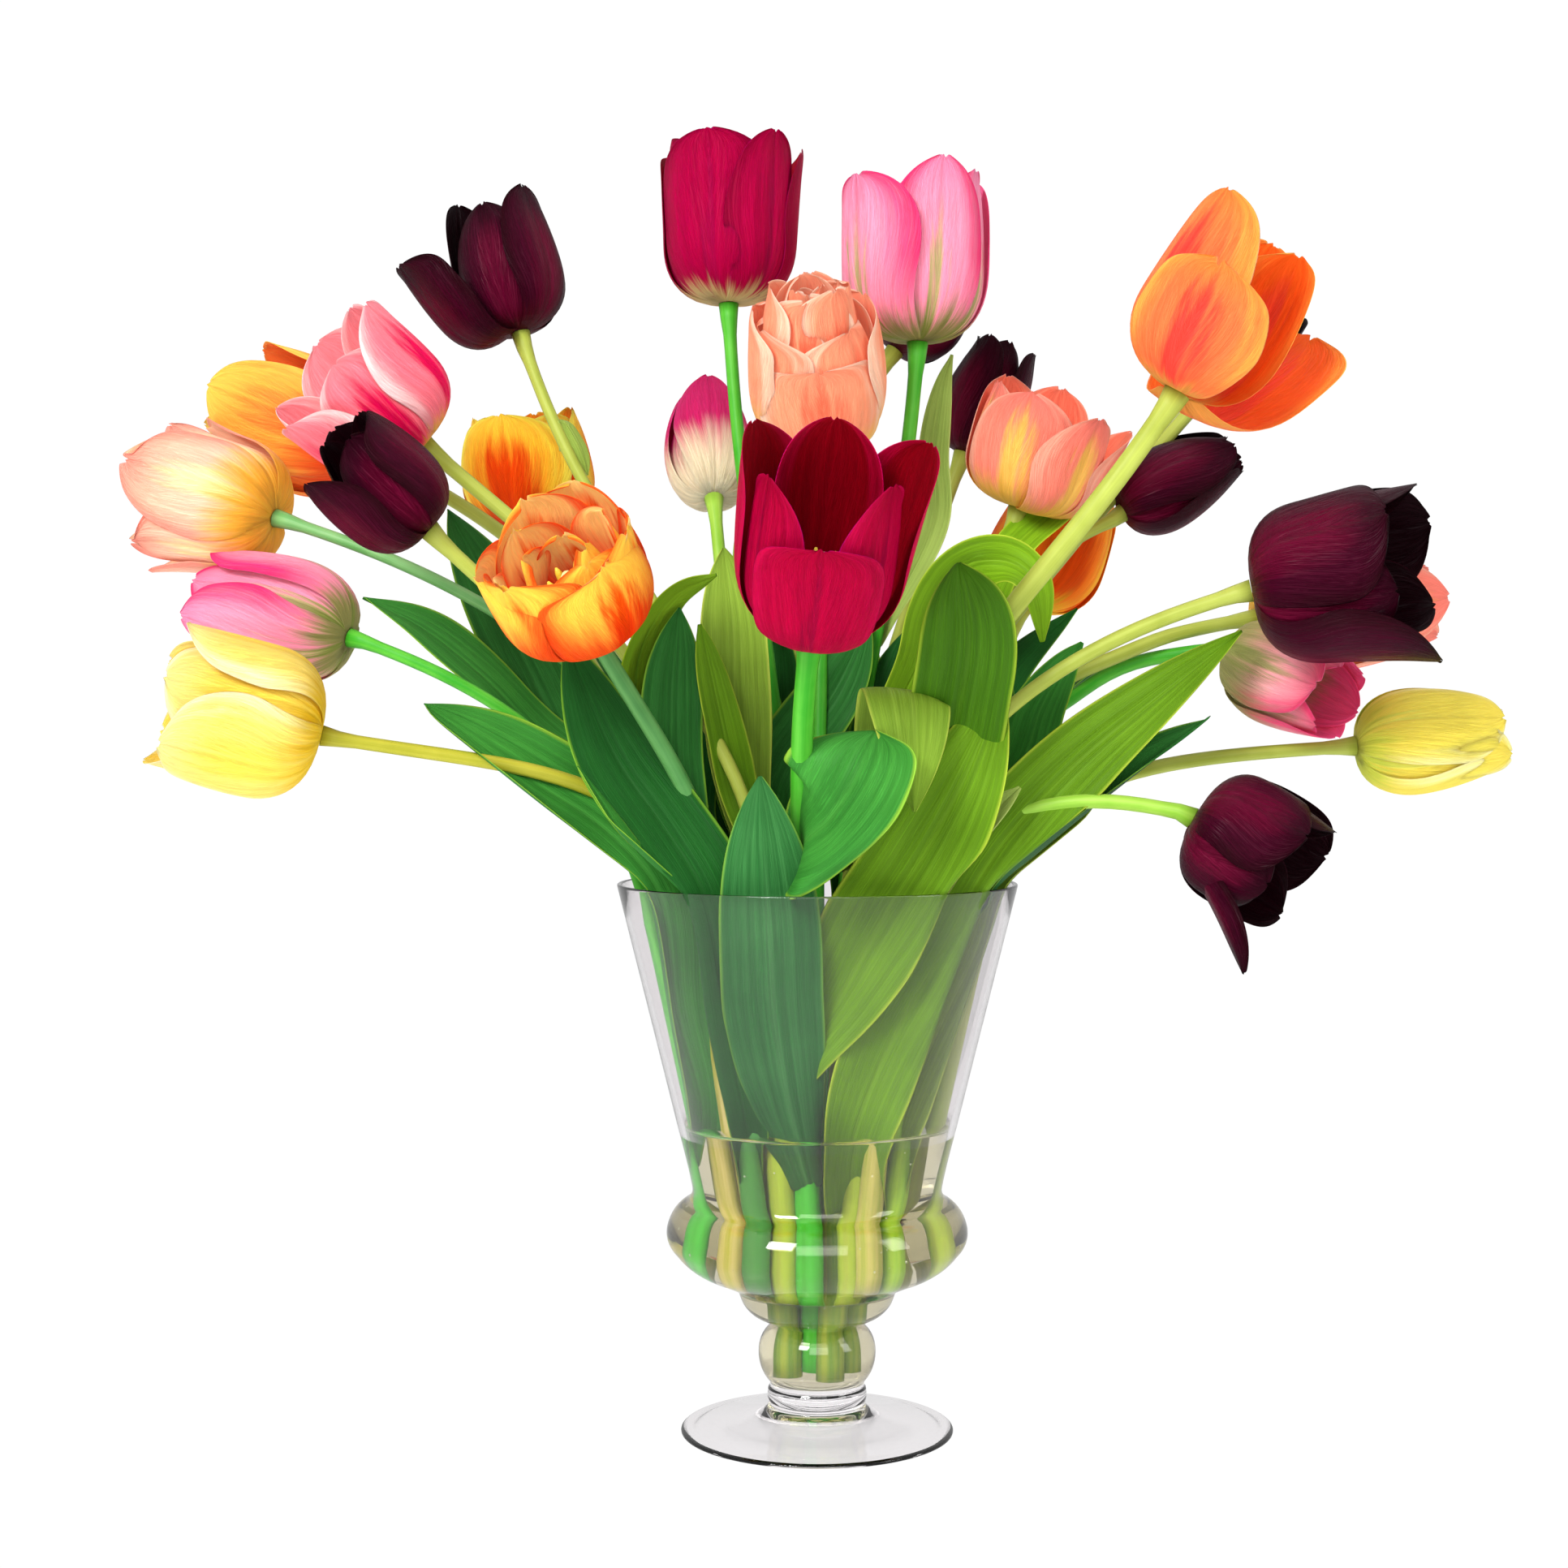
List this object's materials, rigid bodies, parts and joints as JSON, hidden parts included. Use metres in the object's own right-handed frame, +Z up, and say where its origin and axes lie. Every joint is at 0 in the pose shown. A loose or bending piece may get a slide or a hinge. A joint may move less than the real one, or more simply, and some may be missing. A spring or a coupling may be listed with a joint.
{
  "type": "tulips in a glass vase",
  "caption": "Loose spreading bunch of mixed tulips with long leaves, set in clear fill in a footed clear glass urn vase with a flared rim.",
  "frame": {"origin": "centre of the flat underside of the foot", "axes": "+Z up along the vase's axis, viewer on -Y, +X to the viewer's right"},
  "size_m": [0.5928, 0.3068, 0.5662],
  "materials": {
    "glass": "clear, polished, faintly grey at the thick foot",
    "clear_fill": "clear cast fill with a slight olive tint, a few small bubbles and a flat glossy top",
    "greenery": "satin, with fine lengthwise veins; leaves run from blue-green to yellow-green",
    "petals_dark": "satin, very dark wine red with a pale sheen along the tips",
    "petals_crimson": "satin, deep crimson with fine lengthwise veins and a cream foot",
    "petals_pink": "satin, pink with paler middles, rosy edges and an olive foot",
    "petals_peach": "satin, peach and salmon with a yellow foot",
    "petals_magenta": "satin, magenta above and cream green below",
    "petals_flame": "satin, orange with yellow edges and red flames",
    "petals_yellow": "satin, butter yellow with pale edges and a greenish foot"
  },
  "bodies": {
    "root": {"glass_vase": "glass", "clear_fill": "clear_fill", "stem_dark_a": "greenery", "bloom_dark_a": "petals_dark", "stem_crimson_a": "greenery", "bloom_crimson_a": "petals_crimson", "stem_pink_a": "greenery", "bloom_pink_a": "petals_pink", "stem_peach_double_a": "greenery", "bloom_peach_double_a": "petals_peach", "stem_crimson_b": "greenery", "bloom_crimson_b": "petals_crimson", "stem_magenta_a": "greenery", "bloom_magenta_a": "petals_magenta", "stem_flame_double_a": "greenery", "bloom_flame_double_a": "petals_flame", "stem_flame_a": "greenery", "bloom_flame_a": "petals_flame", "stem_pink_b": "greenery", "bloom_pink_b": "petals_pink", "stem_flame_b": "greenery", "bloom_flame_b": "petals_flame", "stem_dark_b": "greenery", "bloom_dark_b": "petals_dark", "stem_peach_a": "greenery", "bloom_peach_a": "petals_peach", "stem_pink_c": "greenery", "bloom_pink_c": "petals_pink", "stem_yellow_a": "greenery", "bloom_yellow_a": "petals_yellow", "stem_dark_c": "greenery", "bloom_dark_c": "petals_dark", "stem_dark_d": "greenery", "bloom_dark_d": "petals_dark", "stem_peach_b": "greenery", "bloom_peach_b": "petals_peach", "stem_flame_c": "greenery", "bloom_flame_c": "petals_flame", "stem_flame_d": "greenery", "bloom_flame_d": "petals_flame", "stem_dark_e": "greenery", "bloom_dark_e": "petals_dark", "stem_dark_f": "greenery", "bloom_dark_f": "petals_dark", "stem_dark_g": "greenery", "bloom_dark_g": "petals_dark", "stem_pink_d": "greenery", "bloom_pink_d": "petals_pink", "stem_peach_c": "greenery", "bloom_peach_c": "petals_peach", "stem_yellow_b": "greenery", "bloom_yellow_b": "petals_yellow", "stem_dark_h": "greenery", "bloom_dark_h": "petals_dark"}
  },
  "joints": []
}
